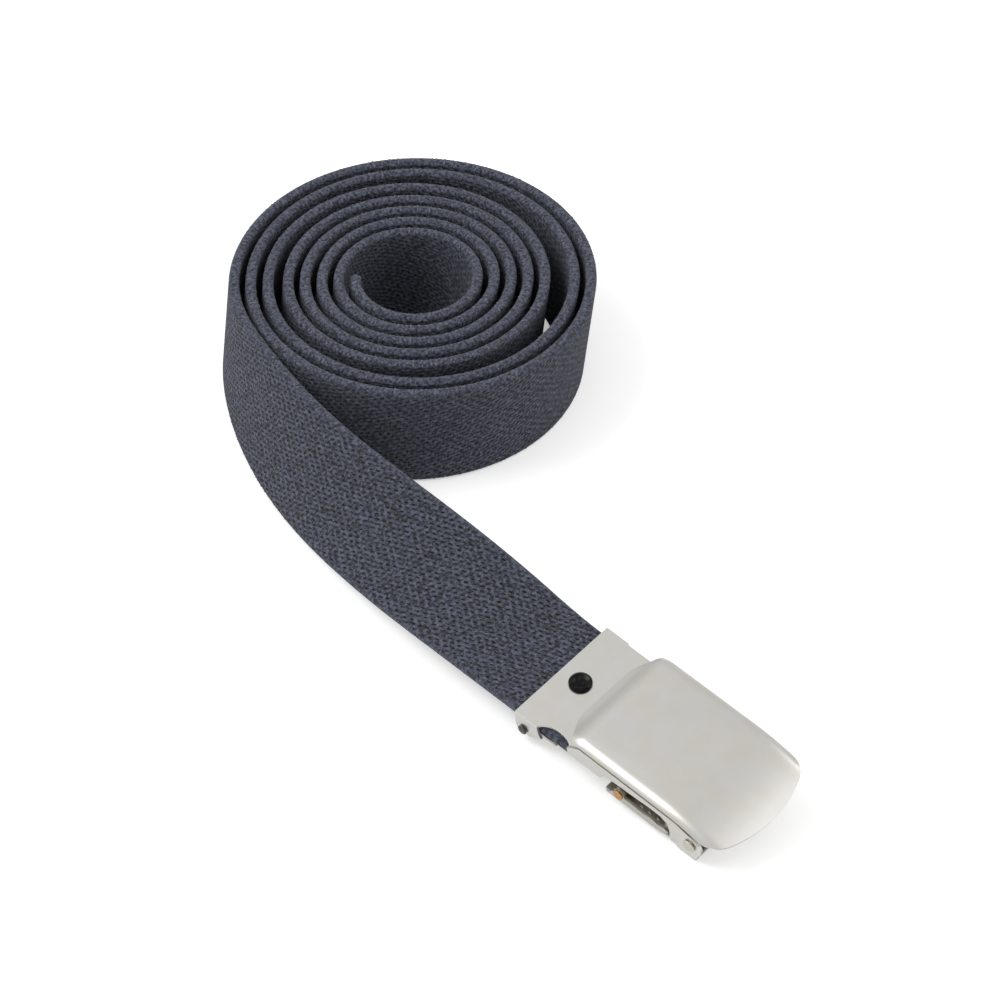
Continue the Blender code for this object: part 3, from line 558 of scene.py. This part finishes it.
def soften_tree():
    """Weld a CAD node's split corners and shade it smooth across shallow edges."""
    tree = bpy.data.node_groups.new("soften", "GeometryNodeTree")
    tree.interface.new_socket("Part", in_out="INPUT", socket_type="NodeSocketGeometry")
    tree.interface.new_socket("Part", in_out="OUTPUT", socket_type="NodeSocketGeometry")
    nodes, links = tree.nodes, tree.links
    group_in = nodes.new("NodeGroupInput")
    group_out = nodes.new("NodeGroupOutput")
    weld = nodes.new("GeometryNodeMergeByDistance")
    weld.inputs["Distance"].default_value = 0.000002
    all_smooth = nodes.new("GeometryNodeSetShadeSmooth")
    sharp = nodes.new("GeometryNodeSetShadeSmooth")
    sharp.domain = "EDGE"
    sharp.inputs["Shade Smooth"].default_value = False
    angle = nodes.new("GeometryNodeInputMeshEdgeAngle")
    over = nodes.new("FunctionNodeCompare")
    over.operation = "GREATER_THAN"
    over.inputs[1].default_value = math.radians(32.0)
    links.new(group_in.outputs[0], weld.inputs[0])
    links.new(weld.outputs[0], all_smooth.inputs[0])
    links.new(all_smooth.outputs[0], sharp.inputs[0])
    links.new(angle.outputs["Unsigned Angle"], over.inputs[0])
    links.new(over.outputs[0], sharp.inputs["Selection"])
    links.new(sharp.outputs[0], group_out.inputs[0])
    return tree


def dress_nodes(materials):
    tree = soften_tree()
    for name, mat in materials.items():
        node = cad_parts[name]
        for material_slot in node.material_slots:
            material_slot.material = mat
        modifier = node.modifiers.new("soften", "NODES")
        modifier.node_group = tree
        bevel = node.modifiers.new("eased edges", "BEVEL")
        bevel.width = 0.00012
        bevel.segments = 2
        bevel.limit_method = "ANGLE"
        bevel.angle_limit = math.radians(40.0)
        bevel.harden_normals = True
        bevel.use_clamp_overlap = True


def studio():
    world = bpy.data.worlds.new("studio")
    bpy.context.scene.world = world
    world.use_nodes = True
    background = world.node_tree.nodes["Background"]
    background.inputs["Color"].default_value = (1.0, 1.0, 1.0, 1.0)
    background.inputs["Strength"].default_value = 0.62
    lamps = (
        ("key", (-0.9, -0.7, 1.5), 1.0, 13.0),
        ("fill", (0.9, 1.0, 1.3), 1.2, 5.0),
    )
    for name, place, size, power in lamps:
        data = bpy.data.lights.new(name, "AREA")
        data.size = size
        data.energy = power
        lamp = bpy.data.objects.new(name, data)
        lamp.location = place
        lamp.rotation_euler = Vector(place).to_track_quat("Z", "Y").to_euler()
        bpy.context.scene.collection.objects.link(lamp)


def table_top():
    mesh = bpy.data.meshes.new("table_top")
    half = 3.0
    corners = [(-half, -half, 0.0), (half, -half, 0.0), (half, half, 0.0), (-half, half, 0.0)]
    mesh.from_pydata(corners, [], [(0, 1, 2, 3)])
    mesh.materials.append(table_material())
    top = bpy.data.objects.new("table_top", mesh)
    bpy.context.scene.collection.objects.link(top)


def camera():
    data = bpy.data.cameras.new("camera")
    data.lens = VIEW_LENS
    data.clip_start = 0.01
    cam = bpy.data.objects.new("camera", data)
    bpy.context.scene.collection.objects.link(cam)
    az, el = math.radians(VIEW_AZIMUTH), math.radians(VIEW_ELEVATION)
    ahead = Vector((-math.sin(az) * math.cos(el), math.cos(az) * math.cos(el), -math.sin(el)))
    cam.location = VIEW_TARGET - ahead * VIEW_DISTANCE
    cam.rotation_euler = ahead.to_track_quat("-Z", "Y").to_euler()
    bpy.context.scene.camera = cam


strap = belt_strap(woven_strap_material())
loop_tree = edge_loop_tree(painted_light_edge_yarn_material())
low_loops = edge_loops("lower_edge_loops", loop_tree, EDGE_LOOP_INSET, 11)
high_loops = edge_loops("upper_edge_loops", loop_tree, WEB_WIDTH - EDGE_LOOP_INSET, 12)
for piece in (strap, low_loops, high_loops):
    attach(piece, "belt")
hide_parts("belt_webbing")

nickel = satin_nickel("satin_nickel")
worn_nickel = satin_nickel("worn_nickel", (0.70, 0.68, 0.63), 0.4, 0.08)
dress_nodes(
    {
        "buckle_frame": satin_nickel("frame_nickel", (0.84, 0.83, 0.80), 0.30),
        "cover_shell": nickel,
        "back_plate": worn_nickel,
        "cam_lever": worn_nickel,
        "clamp_jaw": worn_nickel,
        "cover_hinge_pin": worn_nickel,
        "clamp_pin": dark_metal("pin_shadow", (0.12, 0.11, 0.10), 0.4),
        "guide_roller": dark_metal("brass", (0.62, 0.33, 0.10), 0.35),
        "guide_roller_pin": dark_metal("brass_pin", (0.62, 0.36, 0.14), 0.35),
        "cover_spring": dark_metal("spring_steel", (0.30, 0.30, 0.32), 0.3),
        "spring_rivet": worn_nickel,
        "belt_rivet": dark_metal("black_rivet", (0.018, 0.018, 0.018), 0.32),
        "rivet_burr": dark_metal("black_burr", (0.02, 0.02, 0.02), 0.4),
    }
)
studio()
table_top()
camera()
bpy.context.scene.view_settings.view_transform = "Standard"
